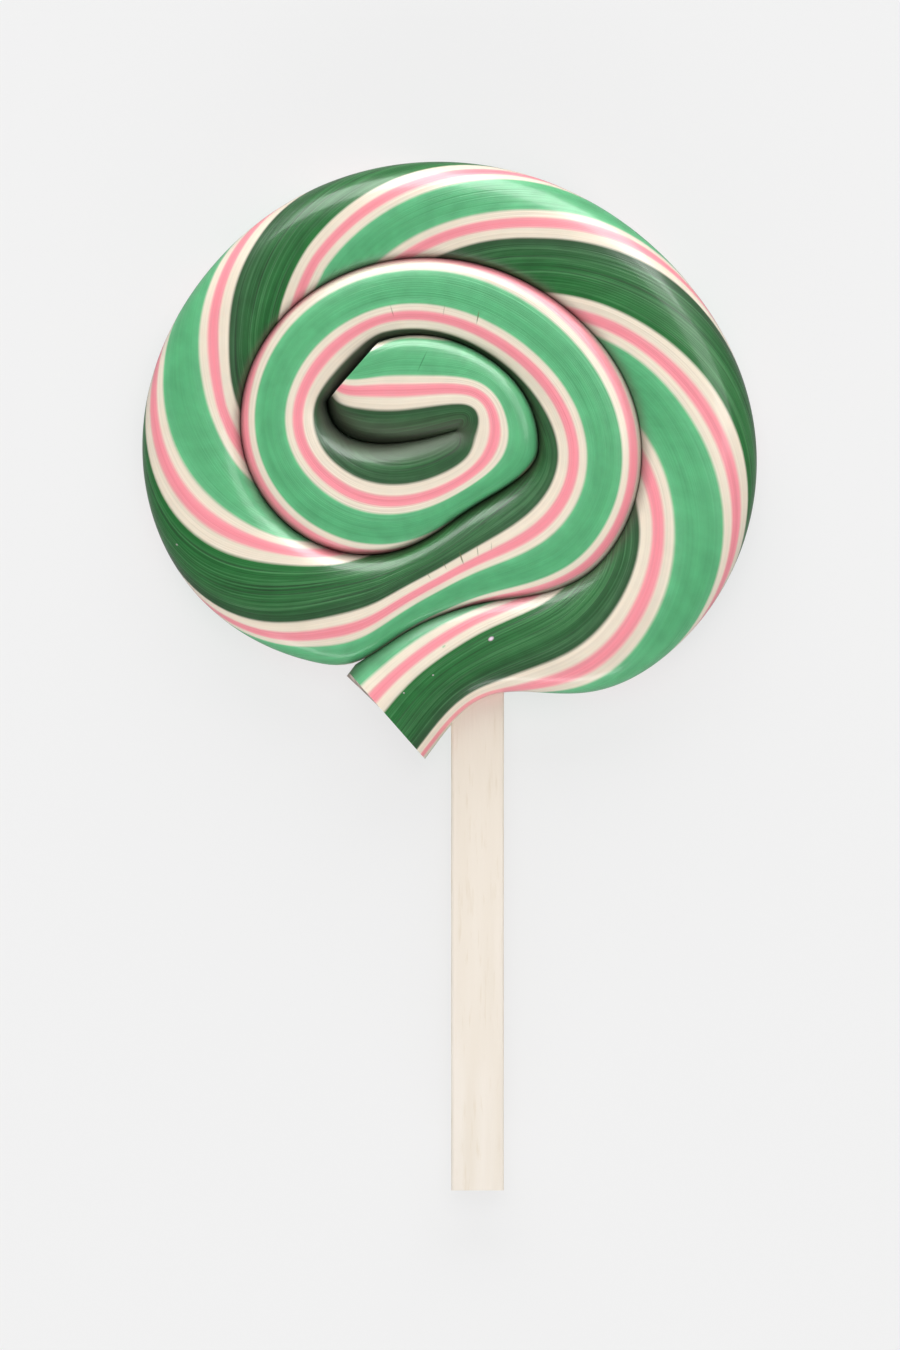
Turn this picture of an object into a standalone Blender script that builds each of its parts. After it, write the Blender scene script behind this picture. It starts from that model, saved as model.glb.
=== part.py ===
"""Swirl lollipop: a candy rope coiled flat round its folded start, on a square-cut wooden stick.

It lies on its back with the shown face up. Units are metres, +Z is up, +Y runs from the stick
to the swirl, and the origin is under the middle of the whole.
"""
import math

import bmesh
import bpy
import numpy as np

MM = 0.001
NAME = "swirl_lollipop"

# Angles along the rope are in degrees, clockwise from straight up (+Y) about the swirl's centre,
# and go on counting past each full turn. The rope starts at ROPE_START.
ROPE_START = -35.0

# The seam is the rope's outer edge. It's also the inner edge of the turn that lies outside it.
# Each row is an angle and the seam's distance from the swirl's centre.
SEAM_KNOTS = (
    (-35.0, 12.82 * MM), (26.0, 10.36 * MM), (96.0, 11.84 * MM), (105.0, 12.00 * MM),
    (121.0, 11.12 * MM), (175.0, 11.36 * MM), (208.0, 16.92 * MM), (270.0, 23.90 * MM),
    (331.0, 21.71 * MM), (416.0, 21.48 * MM), (445.0, 23.65 * MM), (479.0, 25.04 * MM),
    (495.0, 24.68 * MM), (523.0, 21.50 * MM), (540.0, 22.28 * MM), (553.0, 26.06 * MM),
    (560.0, 29.66 * MM), (568.0, 31.60 * MM), (599.0, 35.48 * MM), (660.0, 33.95 * MM),
    (691.0, 32.69 * MM), (780.0, 34.67 * MM), (810.0, 37.78 * MM), (855.0, 38.30 * MM),
    (870.0, 36.28 * MM), (900.0, 37.05 * MM), (902.6, 39.50 * MM),
)

# The start is folded on itself. A crease runs from the tip of its cut face to the fold's end.
CREASE_TIP = (-13.56 * MM, 3.36 * MM)
CREASE_BEND = (-13.20 * MM, -1.80 * MM)
CREASE_BELLY = (-7.80 * MM, -3.00 * MM)
FOLD_END = (1.92 * MM, -0.12 * MM)

# One turn in four spans: angle and number of steps. The rope follows the crease inwards, swings
# round the fold's end, follows the crease back out, and passes the cut face of its own start.
TURN_SPANS = ((62.0, 14), (143.0, 26), (107.0, 14), (48.0, 8))
STEPS_PER_TURN = sum(steps for _, steps in TURN_SPANS)
# The tail stops this many steps into the third span of its third turn
TAIL_STEPS = 4
# From this angle the rope's outer edge lags behind its inner one, so the tail is cut on a slant
SLANT_FROM = 868.0
TAIL_CORNER = 902.6

# Heights are measured from the rope's middle
CREST = 5.5 * MM
BACK_FLAT = 5.0 * MM
SEAM_LEVEL = 2.6 * MM
RIM_LEVEL = 0.3 * MM
CREASE_LEVEL = 1.2 * MM
# The seam drops to the free rim between these two angles
RIM_FROM = 542.0
RIM_TO = 585.0
ROUNDNESS = 2.3
STEPS_ACROSS = 10

STICK_WIDTH = 6.35 * MM
STICK_THICKNESS = 3.0 * MM
STICK_EDGE = 0.4 * MM
# Measured from the swirl's centre
STICK_X = 4.5 * MM
STICK_FOOT_Y = -91.2 * MM
STICK_HEAD_Y = -12.0 * MM
FIT_GAP = 0.3 * MM

SAME_POINT = 0.001 * MM
SHARP_ANGLE = math.radians(50.0)

CANDY_GREEN = (0.11, 0.47, 0.20)
CANDY_ROUGHNESS = 0.12
WOOD_COLOUR = (0.80, 0.68, 0.52)
WOOD_ROUGHNESS = 0.65


def clear_scene():
    """Removes everything that the file opened with."""
    for item in list(bpy.data.objects):
        bpy.data.objects.remove(item, do_unlink=True)


def new_collection(name):
    """Makes a collection in the scene."""
    collection = bpy.data.collections.new(name)
    bpy.context.scene.collection.children.link(collection)
    return collection


def material(name, colour, roughness, coat=0.0):
    """Makes a plain material with one colour."""
    made = bpy.data.materials.new(name)
    made.use_nodes = True
    shader = made.node_tree.nodes["Principled BSDF"]
    shader.inputs["Base Color"].default_value = (*colour, 1.0)
    shader.inputs["Roughness"].default_value = roughness
    shader.inputs["Metallic"].default_value = 0.0
    shader.inputs["Coat Weight"].default_value = coat
    made.diffuse_color = (*colour, 1.0)
    return made


def ramp(value, start, end):
    """Rises smoothly from 0 at start to 1 at end."""
    t = min(max((value - start) / (end - start), 0.0), 1.0)
    return t * t * (3.0 - 2.0 * t)


def spline_bends(knots, values):
    """Second slopes of the natural cubic spline through the values at the knots."""
    count = len(knots)
    gaps = np.diff(knots)
    steps = np.diff(values)
    left = np.eye(count)
    right = np.zeros(count)
    for i in range(1, count - 1):
        left[i, i - 1] = gaps[i - 1]
        left[i, i] = 2.0 * (gaps[i - 1] + gaps[i])
        left[i, i + 1] = gaps[i]
        right[i] = 6.0 * (steps[i] / gaps[i] - steps[i - 1] / gaps[i - 1])
    return np.linalg.solve(left, right)


KNOT_TURNS = np.array([turn for turn, _ in SEAM_KNOTS])
KNOT_RADII = np.array([radius for _, radius in SEAM_KNOTS])
KNOT_BENDS = spline_bends(KNOT_TURNS, KNOT_RADII)


def seam_radius(turn):
    """Distance of the seam from the swirl's centre at one angle."""
    last = len(KNOT_TURNS) - 2
    i = min(max(int(np.searchsorted(KNOT_TURNS, turn, side="right")) - 1, 0), last)
    gap = KNOT_TURNS[i + 1] - KNOT_TURNS[i]
    t = (turn - KNOT_TURNS[i]) / gap
    s = 1.0 - t
    bend = (s ** 3 - s) * KNOT_BENDS[i] + (t ** 3 - t) * KNOT_BENDS[i + 1]
    return s * KNOT_RADII[i] + t * KNOT_RADII[i + 1] + bend * gap * gap / 6.0


def seam_point(turn):
    """Plan position of the seam at one angle."""
    radius = seam_radius(turn)
    angle = math.radians(turn)
    return np.array((radius * math.sin(angle), radius * math.cos(angle)))


def seam_level(turn):
    """Height of the seam, from the rope's middle: it drops where the rope has no neighbour."""
    return SEAM_LEVEL + (RIM_LEVEL - SEAM_LEVEL) * ramp(turn, RIM_FROM, RIM_TO)


def crease_point(t):
    """Plan position on the crease, from the cut face's tip at 0 to the fold's end at 1."""
    a, b, c, d = (np.array(p) for p in (CREASE_TIP, CREASE_BEND, CREASE_BELLY, FOLD_END))
    s = 1.0 - t
    return s ** 3 * a + 3.0 * t * s ** 2 * b + 3.0 * t ** 2 * s * c + t ** 3 * d


def station_turns():
    """Angles of the cross-sections, from the folded start to the tail's cut face."""
    turns = [ROPE_START]
    while len(turns) < 3 * STEPS_PER_TURN:
        for span, steps in TURN_SPANS:
            start = turns[-1]
            turns.extend(start + span * (k + 1) / steps for k in range(steps))
    into_third_span = TURN_SPANS[0][1] + TURN_SPANS[1][1] + TAIL_STEPS
    return turns[:2 * STEPS_PER_TURN + into_third_span + 1]


def core_edge(index):
    """Inner edge of the first turn: its plan position and its height from the rope's middle."""
    spans = [steps for _, steps in TURN_SPANS]
    fold = spans[0] + spans[1]
    tip = fold + spans[2]
    if index <= spans[0]:
        return crease_point(index / spans[0]), CREASE_LEVEL
    if index <= fold:
        return crease_point(1.0), CREASE_LEVEL
    if index <= tip:
        return crease_point((tip - index) / spans[2]), CREASE_LEVEL
    along = (index - tip) / spans[3]
    point = crease_point(0.0) + along * (seam_point(ROPE_START) - crease_point(0.0))
    return point, CREASE_LEVEL + along * (SEAM_LEVEL - CREASE_LEVEL)


def outer_turn(turn, last_turn):
    """Angle on the outer edge that faces the inner edge's angle, with the tail's slant."""
    return turn - (last_turn - TAIL_CORNER) * ramp(turn, SLANT_FROM, last_turn)


def crown(across):
    """Height of the rope's rounded section, 1 at its crest and 0 at its edges."""
    return max(1.0 - abs(across) ** ROUNDNESS, 0.0) ** (1.0 / ROUNDNESS)


def section_rows():
    """Points of each cross-section, from inner to outer edge: the face's row and the back's."""
    turns = station_turns()
    rows = []
    for index, turn in enumerate(turns):
        if index < STEPS_PER_TURN:
            inner, inner_level = core_edge(index)
        else:
            inner = seam_point(turns[index - STEPS_PER_TURN])
            inner_level = seam_level(turns[index - STEPS_PER_TURN])
        facing = outer_turn(turn, turns[-1])
        outer = seam_point(facing)
        outer_level = seam_level(facing)
        face = []
        back = []
        for k in range(STEPS_ACROSS + 1):
            across = -math.cos(math.pi * k / STEPS_ACROSS)
            share = 0.5 * (1.0 + across)
            x, y = inner + share * (outer - inner)
            edge = inner_level + share * (outer_level - inner_level)
            height = edge + (CREST - edge) * crown(across)
            face.append((x, y, height))
            back.append((x, y, -min(height, BACK_FLAT)))
        rows.append((face, back))
    return rows


def add_skin(mesh, rows):
    """Joins neighbouring cross-sections with faces."""
    for near, far in zip(rows, rows[1:]):
        for k in range(STEPS_ACROSS):
            mesh.faces.new((near[k], near[k + 1], far[k + 1], far[k]))


def build_rope():
    """Lofts the coiled rope as one closed mesh whose turns are fused along the seam."""
    mesh = bmesh.new()
    rows = section_rows()
    face = [[mesh.verts.new(point) for point in row] for row, _ in rows]
    back = [[mesh.verts.new(point) for point in row] for _, row in rows]
    add_skin(mesh, face)
    add_skin(mesh, back)
    # The cut face of the start stands over the edge of the turn that passes it
    passing = STEPS_PER_TURN - TURN_SPANS[3][1]
    for side in (face, back):
        beside = [side[i][0] for i in range(passing + 1, STEPS_PER_TURN)]
        mesh.faces.new(side[0] + beside[::-1])
    # The free rim closes the face to the back, and the tail ends in its cut face
    for i in range(len(rows) - 1 - STEPS_PER_TURN, len(rows) - 1):
        mesh.faces.new((face[i][-1], face[i + 1][-1], back[i + 1][-1], back[i][-1]))
    mesh.faces.new(face[-1] + back[-1][::-1])
    bmesh.ops.remove_doubles(mesh, verts=mesh.verts, dist=SAME_POINT)
    bmesh.ops.recalc_face_normals(mesh, faces=mesh.faces)
    return mesh


def build_candy(collection, cutters):
    """Makes the coiled rope and cuts the stick's socket into its rim."""
    mesh = build_rope()
    data = bpy.data.meshes.new("candy")
    mesh.to_mesh(data)
    mesh.free()
    data.shade_smooth()
    data.set_sharp_from_angle(angle=SHARP_ANGLE)
    data.materials.append(material("candy_green", CANDY_GREEN, CANDY_ROUGHNESS, coat=1.0))
    candy = bpy.data.objects.new("candy", data)
    collection.objects.link(candy)

    socket_length = STICK_HEAD_Y - STICK_FOOT_Y + 2.0 * FIT_GAP
    socket = box(
        "socket_cutter",
        (STICK_WIDTH + 2.0 * FIT_GAP, socket_length, STICK_THICKNESS + 2.0 * FIT_GAP),
        (STICK_X, STICK_FOOT_Y - FIT_GAP + socket_length / 2.0, 0.0),
        cutters,
    )
    socket.display_type = "WIRE"
    socket.hide_render = True
    cut = candy.modifiers.new("socket", "BOOLEAN")
    cut.operation = "DIFFERENCE"
    cut.solver = "EXACT"
    cut.object = socket
    return candy, socket


def box(name, size, centre, collection):
    """Makes a box of the given size about its centre."""
    bpy.ops.mesh.primitive_cube_add(size=1.0, location=centre)
    made = bpy.context.object
    made.name = name
    made.data.name = name
    for vertex in made.data.vertices:
        vertex.co = [along * length for along, length in zip(vertex.co, size)]
    for other in list(made.users_collection):
        other.objects.unlink(made)
    collection.objects.link(made)
    return made


def build_stick(collection):
    """Makes the flat wooden stick, from its square-cut foot to its end inside the candy."""
    length = STICK_HEAD_Y - STICK_FOOT_Y
    size = (STICK_WIDTH, length, STICK_THICKNESS)
    stick = box("stick", size, (STICK_X, STICK_FOOT_Y + length / 2.0, 0.0), collection)
    stick.data.materials.append(material("stick_wood", WOOD_COLOUR, WOOD_ROUGHNESS))
    edges = stick.modifiers.new("eased_edges", "BEVEL")
    edges.width = STICK_EDGE
    edges.segments = 2
    return stick


def set_down(pieces, socket):
    """Moves all so that the back lies on z = 0 and the pieces are centred on the origin."""
    corners = []
    for piece in pieces:
        place = np.array(piece.location)
        corners.extend(place + np.array(vertex.co) for vertex in piece.data.vertices)
    middle = 0.5 * (np.min(corners, axis=0) + np.max(corners, axis=0))
    for moved in (*pieces, socket):
        moved.location.x -= middle[0]
        moved.location.y -= middle[1]
        moved.location.z += BACK_FLAT


def main():
    """Builds the lollipop."""
    clear_scene()
    collection = new_collection(NAME)
    cutters = new_collection("cutters")
    candy, socket = build_candy(collection, cutters)
    stick = build_stick(collection)
    set_down((candy, stick), socket)


main()
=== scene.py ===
"""Swirl lollipop on a pale floor, seen from straight above.

A striped rope of pulled sugar is coiled flat round its folded start and stuck to a flat wooden
stick. The rope's plan is one seam curve: the outer edge of each turn is the inner edge of the
next. Metres, +Z up, +Y from the stick to the swirl.
"""
import logging
import math
from dataclasses import dataclass
from enum import Enum

import bmesh
import bpy
import numpy as np
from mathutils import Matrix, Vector


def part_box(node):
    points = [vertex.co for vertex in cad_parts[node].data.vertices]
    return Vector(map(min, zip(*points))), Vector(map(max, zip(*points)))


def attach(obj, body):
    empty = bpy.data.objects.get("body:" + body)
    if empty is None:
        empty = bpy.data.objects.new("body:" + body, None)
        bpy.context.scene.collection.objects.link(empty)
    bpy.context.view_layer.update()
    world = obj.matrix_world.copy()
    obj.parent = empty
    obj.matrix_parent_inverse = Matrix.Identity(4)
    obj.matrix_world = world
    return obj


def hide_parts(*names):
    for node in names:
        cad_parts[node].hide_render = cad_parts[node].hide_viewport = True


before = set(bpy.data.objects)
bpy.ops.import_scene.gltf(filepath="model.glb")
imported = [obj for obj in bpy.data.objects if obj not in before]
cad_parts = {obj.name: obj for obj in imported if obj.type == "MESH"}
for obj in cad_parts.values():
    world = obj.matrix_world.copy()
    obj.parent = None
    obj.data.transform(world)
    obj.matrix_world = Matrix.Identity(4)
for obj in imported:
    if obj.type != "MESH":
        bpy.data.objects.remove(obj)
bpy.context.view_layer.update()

MM = 0.001
BODY = "root"
Array = np.ndarray
Pair = tuple[float, float]
Knots = tuple[Pair, ...]
Shade = tuple[float, ...]
Socket = bpy.types.NodeSocket
Material = bpy.types.Material
log = logging.getLogger("lollipop")


# Shared tools


def linear(*shade: float) -> Shade:
    """Turns a screen colour into the linear one that shaders take.

    Args:
        shade: Red, green and blue from 0 to 255.

    Returns:
        Linear red, green and blue from 0 to 1, and full opacity.
    """
    parts = [value / 255.0 for value in shade]
    curve = [v / 12.92 if v <= 0.04045 else ((v + 0.055) / 1.055) ** 2.4 for v in parts]
    return curve[0], curve[1], curve[2], 1.0


def ramp(value: Array, start: float, end: float) -> Array:
    """Rises smoothly from 0 at start to 1 at end.

    Args:
        value: Where to read the ramp.
        start: Where it leaves 0.
        end: Where it reaches 1.

    Returns:
        The ramp's height at each value.
    """
    t = np.clip((value - start) / (end - start), 0.0, 1.0)
    return t * t * (3.0 - 2.0 * t)


class Spline:
    """A natural cubic spline through a few values."""

    def __init__(self, knots: Knots) -> None:
        """Works out the spline's bends.

        Args:
            knots: Pairs of a place and the value there, in order.
        """
        self.at = np.array([place for place, _ in knots])
        self.value = np.array([value for _, value in knots])
        gaps = np.diff(self.at)
        slopes = np.diff(self.value) / gaps
        left = np.eye(len(self.at))
        right = np.zeros(len(self.at))
        for i in range(1, len(self.at) - 1):
            left[i, i - 1] = gaps[i - 1]
            left[i, i] = 2.0 * (gaps[i - 1] + gaps[i])
            left[i, i + 1] = gaps[i]
            right[i] = 6.0 * (slopes[i] - slopes[i - 1])
        self.bend = np.linalg.solve(left, right)

    def __call__(self, place: Array) -> Array:
        """Reads the spline.

        Args:
            place: Where to read it.

        Returns:
            The value at each place.
        """
        i = np.clip(np.searchsorted(self.at, place, side="right") - 1, 0, len(self.at) - 2)
        gap = self.at[i + 1] - self.at[i]
        t = (place - self.at[i]) / gap
        s = 1.0 - t
        bend = (s ** 3 - s) * self.bend[i] + (t ** 3 - t) * self.bend[i + 1]
        return s * self.value[i] + t * self.value[i + 1] + bend * gap * gap / 6.0


class Graph:
    """Builds a node tree, for a material or for Geometry Nodes."""

    def __init__(self, tree: bpy.types.NodeTree) -> None:
        """Takes hold of a tree.

        Args:
            tree: The tree to add to.
        """
        self.tree = tree

    def add(self, kind: str, inputs: dict | None = None, **settings: object) -> bpy.types.Node:
        """Adds a node.

        Args:
            kind: The node's type.
            inputs: What goes into its sockets, by name or number: a socket or a value.
            settings: The node's own settings.

        Returns:
            The new node.
        """
        node = self.tree.nodes.new(kind)
        for name, value in settings.items():
            setattr(node, name, value)
        for key, value in (inputs or {}).items():
            self.feed(node.inputs[key], value)
        return node

    def feed(self, socket: Socket, value: object) -> None:
        """Links a socket to another, or sets its value.

        Args:
            socket: The socket to fill.
            value: A socket, a number or a colour.
        """
        if isinstance(value, Socket):
            self.tree.links.new(value, socket)
        else:
            socket.default_value = value

    def math(self, operation: str, *values: object) -> Socket:
        """Adds a math node.

        Args:
            operation: What it does.
            values: Its numbers, as sockets or values.

        Returns:
            Its result.
        """
        return self.add("ShaderNodeMath", dict(enumerate(values)), operation=operation).outputs[0]

    def mix(self, factor: object, first: object, second: object) -> Socket:
        """Mixes two colours.

        Args:
            factor: 0 for the first and 1 for the second.
            first: A colour.
            second: A colour.

        Returns:
            The mixed colour.
        """
        node = self.add("ShaderNodeMix", data_type="RGBA")
        for number, value in ((0, factor), (6, first), (7, second)):
            self.feed(node.inputs[number], value)
        return node.outputs[2]

    def blend(self, start: object, end: object, share: object) -> Socket:
        """Goes from one number to another.

        Args:
            start: The number where the share is 0.
            end: The number where the share is 1.
            share: How far it has gone.

        Returns:
            The number there.
        """
        return self.math("MULTIPLY_ADD", self.math("SUBTRACT", end, start), share, start)

    def spread(self, value: object, low: float, high: float) -> Socket:
        """Stretches a range of values to 0 to 1.

        Args:
            value: The value to stretch.
            low: What becomes 0.
            high: What becomes 1.

        Returns:
            The stretched value.
        """
        return self.add("ShaderNodeMapRange", {0: value, 1: low, 2: high}).outputs[0]

    def noise(self, place: object, scale: float, detail: float, stir: float = 0.0) -> Socket:
        """Adds a noise texture.

        Args:
            place: Where it is read.
            scale: How fine it is.
            detail: How many finer layers it has.
            stir: How much it is distorted.

        Returns:
            Its value.
        """
        inputs = {"Vector": place, "Scale": scale, "Detail": detail, "Distortion": stir}
        return self.add("ShaderNodeTexNoise", inputs).outputs[0]

    def roughen(self, shader: bpy.types.Node, height: Socket, strength: float, depth: float) -> None:
        """Gives a shader fine bumps.

        Args:
            shader: The shader.
            height: The bumps' height, from 0 to 1.
            strength: How strong they are.
            depth: How deep they are.
        """
        bump = self.add("ShaderNodeBump", {"Strength": strength, "Distance": depth, "Height": height})
        self.feed(shader.inputs["Normal"], bump.outputs[0])


def new_object(name: str, data: bpy.types.ID) -> bpy.types.Object:
    """Puts data in the scene as an object at the origin.

    Args:
        name: The object's name.
        data: Its mesh, light or camera.

    Returns:
        The new object.
    """
    made = bpy.data.objects.new(name, data)
    bpy.context.scene.collection.objects.link(made)
    return made


def new_material(name: str) -> tuple[Material, Graph, bpy.types.Node]:
    """Makes an empty node material.

    Args:
        name: The material's name.

    Returns:
        The material, its graph and its Principled shader.
    """
    made = bpy.data.materials.new(name)
    made.use_nodes = True
    shader = made.node_tree.nodes["Principled BSDF"]
    return made, Graph(made.node_tree), shader


def bake_nodes(piece: bpy.types.Object) -> None:
    """Turns the result of a piece's modifiers into its plain mesh.

    Args:
        piece: The object whose modifiers are applied and removed.
    """
    evaluated = piece.evaluated_get(bpy.context.evaluated_depsgraph_get())
    baked = bpy.data.meshes.new_from_object(evaluated)
    baked.name = piece.name
    piece.modifiers.clear()
    piece.data = baked


# Finishes


@dataclass(frozen=True)
class Mark:
    """A small flaw of the sugar, as an ellipse on the rope's skin, in millimetres."""

    place: Pair
    half_size: Pair
    lean: float
    shade: Shade
    strength: float


HAIRLINE = linear(104, 104, 62)
GREEN_CRACK = linear(40, 112, 66)
BUBBLE = linear(240, 212, 230)
BUBBLE_RIM = linear(28, 78, 40)
GREEN_FLECK = linear(120, 190, 140)
FLECK = linear(196, 166, 146)
BLACK = linear(0, 0, 0)
WHITE = linear(255, 255, 255)


@dataclass(frozen=True)
class StripedSugar:
    """Glossy pulled sugar: green rope with lines of pink between cream edges.

    The rope's map holds the distance along the rope in x, in metres, and the stripe pattern in
    y, where one whole number is one light and one dark green stripe with their two pink lines.
    """

    light_green: Shade = linear(84, 171, 116)
    light_edge: Shade = linear(96, 182, 128)
    dark_green: Shade = linear(29, 98, 43)
    dark_clear: Shade = linear(22, 105, 42)
    dark_edge: Shade = linear(38, 80, 44)
    dark_pale: Shade = linear(92, 132, 96)
    dark_vein: Shade = linear(30, 46, 30)
    cream: Shade = linear(232, 220, 201)
    pink: Shade = linear(241, 153, 162)
    pink_middle: Shade = linear(240, 142, 154)
    repeat: float = 200.0
    # Where on a repeat the first pink line lies
    first_pink: float = 0.25
    girth: float = 20.0 * MM
    marks: tuple[Mark, ...] = (
        Mark((126.62, 1.15), (0.54, 0.07), -71.0, HAIRLINE, 0.35),
        Mark((128.31, 1.49), (0.75, 0.07), -82.0, HAIRLINE, 0.55),
        Mark((130.23, 1.72), (1.02, 0.09), -94.0, HAIRLINE, 0.80),
        Mark((132.37, 2.05), (0.72, 0.07), -102.0, HAIRLINE, 0.50),
        Mark((134.54, 1.86), (0.63, 0.07), -110.0, HAIRLINE, 0.45),
        Mark((74.45, -0.92), (0.87, 0.07), 95.0, HAIRLINE, 0.50),
        Mark((81.27, -1.27), (0.85, 0.07), 97.0, HAIRLINE, 0.35),
        Mark((85.76, -1.77), (0.88, 0.09), 83.0, HAIRLINE, 0.75),
        Mark((6.45, -3.73), (1.30, 0.08), 81.0, GREEN_CRACK, 0.70),
        Mark((305.72, 67.91), (0.36, 0.36), 0.0, BUBBLE_RIM, 0.80),
        Mark((305.72, 67.91), (0.26, 0.27), 0.0, BUBBLE, 1.00),
        Mark((313.41, 67.96), (0.12, 0.12), 0.0, BUBBLE, 0.60),
        Mark((318.14, 69.02), (0.12, 0.12), 0.0, BUBBLE, 0.60),
        Mark((310.55, 70.49), (0.20, 0.14), 0.0, GREEN_FLECK, 0.60),
        Mark((164.90, 6.82), (0.12, 0.12), 0.0, BUBBLE, 0.50),
        Mark((22.86, -6.10), (0.95, 0.30), 0.0, FLECK, 0.85),
    )
    mark_edge: Pair = (1.3, 0.5)
    streak_length: float = 16.0 * MM
    streak_width: float = 1.9
    broad_scale: float = 0.23
    vein_scale: float = 0.62
    vein_stir: float = 0.4
    wander_scale: float = 0.06
    wander: float = 0.014
    cloud_scale: float = 420.0
    # Where on a repeat the dark green's streaks come in and go out
    dark_span: tuple[float, ...] = (0.36, 0.40, 0.68, 0.71)
    pale_range: Pair = (0.47, 0.66)
    pale_share: float = 0.35
    vein_range: Pair = (0.56, 0.66)
    vein_share: float = 0.55
    shade_range: Pair = (0.30, 0.70)
    shade_depth: float = 0.2
    dark_depth: float = 0.75
    mottle: float = 0.6
    # Painted shade: in the grooves between turns and in the crease the colour darkens towards these groove
    # colours
    groove_shade_range: Pair = (0.0, 0.65)
    groove_shade_strength: float = 0.85
    deep_shade_range: Pair = (0.45, 0.9)
    groove: Shade = linear(78, 77, 66)
    deep_groove: Shade = linear(36, 34, 30)
    bump: Pair = (0.8, 0.12 * MM)
    roughness: float = 0.34
    valley_roughness: float = 0.4
    coat: float = 0.5
    coat_range: Pair = (0.0, 0.4)
    coat_roughness: float = 0.12
    # How much light soaks into the sugar, and how far its red, green and blue go
    soak_share: float = 0.3
    soak_depth: tuple[float, float, float] = (1.0, 0.7, 0.6)

    def stops(self) -> list[tuple[float, Shade]]:
        """Colours along one repeat of the pattern, from the light green's middle."""
        edges = (
            (-30.0, self.light_green), (-19.0, self.light_edge), (-15.4, self.cream), (-8.6, self.cream),
            (-5.0, self.pink), (0.0, self.pink_middle), (5.4, self.pink), (9.0, self.cream),
            (19.4, self.cream), (22.8, self.dark_edge), (46.0, self.dark_green), (78.0, self.dark_clear),
            (92.2, self.dark_clear), (95.6, self.cream), (106.0, self.cream), (109.6, self.pink),
            (115.0, self.pink_middle), (119.9, self.pink), (123.5, self.cream), (130.8, self.cream),
            (134.4, self.light_edge), (146.0, self.light_green),
        )
        return [(place / self.repeat + self.first_pink, colour) for place, colour in edges]

    def make(self) -> Material:
        """Makes the material."""
        made, graph, shader = new_material("striped_sugar")
        place = graph.add("ShaderNodeUVMap", uv_map="rope").outputs[0]
        along, pattern = graph.add("ShaderNodeSeparateXYZ", {0: place}).outputs[:2]
        lengthwise = graph.math("DIVIDE", along, self.streak_length)
        crosswise = graph.math("MULTIPLY", pattern, self.repeat / self.streak_width)
        drawn = graph.add("ShaderNodeCombineXYZ", {0: lengthwise, 1: crosswise}).outputs[0]
        fine = graph.math("MULTIPLY", graph.noise(drawn, 1.0, 3.0), 0.5)
        broad = graph.math("MULTIPLY", graph.noise(drawn, self.broad_scale, 2.0), 0.5)
        streaks = graph.math("ADD", fine, broad)
        bands, in_dark = self.banded(graph, drawn, pattern)
        coloured = self.veined(graph, drawn, streaks, bands, in_dark)

        shade = graph.math("SUBTRACT", graph.spread(streaks, *self.shade_range), 0.5)
        depth = graph.math("MULTIPLY_ADD", in_dark, self.dark_depth, self.shade_depth)
        gain = graph.math("MULTIPLY_ADD", shade, depth, 1.0)
        round_skin = graph.math("MULTIPLY", pattern, self.girth)
        skin = graph.add("ShaderNodeCombineXYZ", {0: along, 1: round_skin}).outputs[0]
        cloud = graph.math("SUBTRACT", graph.noise(skin, self.cloud_scale, 5.0), 0.5)
        red = graph.add("ShaderNodeSeparateColor", {0: bands}).outputs[0]
        cloudy = graph.math("MULTIPLY_ADD", red, -self.mottle, self.mottle)
        gain = graph.math("MULTIPLY_ADD", cloud, cloudy, gain)
        colour = graph.add("ShaderNodeVectorMath", {0: coloured, 1: gain}, operation="MULTIPLY").outputs[0]
        colour = self.marked(graph, skin, colour)

        # Painted shade: the grooves' darkening is mixed into the base colour, nearly black where deepest
        valley = graph.add("ShaderNodeAttribute", attribute_name="valley").outputs["Fac"]
        painted_shade = graph.math("MULTIPLY", graph.spread(valley, *self.groove_shade_range), self.groove_shade_strength)
        shadow = graph.mix(graph.spread(valley, *self.deep_shade_range), self.groove, self.deep_groove)
        graph.feed(shader.inputs["Base Color"], graph.mix(painted_shade, colour, shadow))
        graph.roughen(shader, streaks, *self.bump)
        rough = graph.math("MULTIPLY_ADD", valley, self.valley_roughness, self.roughness)
        graph.feed(shader.inputs["Roughness"], rough)
        dull = graph.spread(valley, *self.coat_range)
        graph.feed(shader.inputs["Coat Weight"], graph.math("MULTIPLY_ADD", dull, -self.coat, self.coat))
        shader.inputs["IOR"].default_value = 1.5
        shader.inputs["Coat Roughness"].default_value = self.coat_roughness
        shader.inputs["Subsurface Weight"].default_value = self.soak_share
        shader.inputs["Subsurface Radius"].default_value = self.soak_depth
        shader.inputs["Subsurface Scale"].default_value = 1.0 * MM
        return made

    def banded(self, graph: Graph, drawn: Socket, pattern: Socket) -> tuple[Socket, Socket]:
        """Colours the stripes, whose edges wander a little.

        Args:
            graph: The material's graph.
            drawn: The place on the skin, drawn out along the rope.
            pattern: The stripe pattern.

        Returns:
            The colour, and 1 in the dark green and 0 elsewhere.
        """
        wander = graph.noise(drawn, self.wander_scale, 1.0)
        sway = graph.math("MULTIPLY_ADD", wander, self.wander, -0.5 * self.wander)
        shifted = graph.math("ADD", graph.math("ADD", pattern, self.first_pink), sway)
        repeat = graph.math("FRACT", shifted)
        bands = graph.add("ShaderNodeValToRGB", {0: repeat})
        self.set_ramp(bands, self.stops())
        in_dark = graph.add("ShaderNodeValToRGB", {0: repeat})
        self.set_ramp(in_dark, list(zip(self.dark_span, (BLACK, WHITE, WHITE, BLACK))))
        return bands.outputs[0], in_dark.outputs[0]

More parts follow.
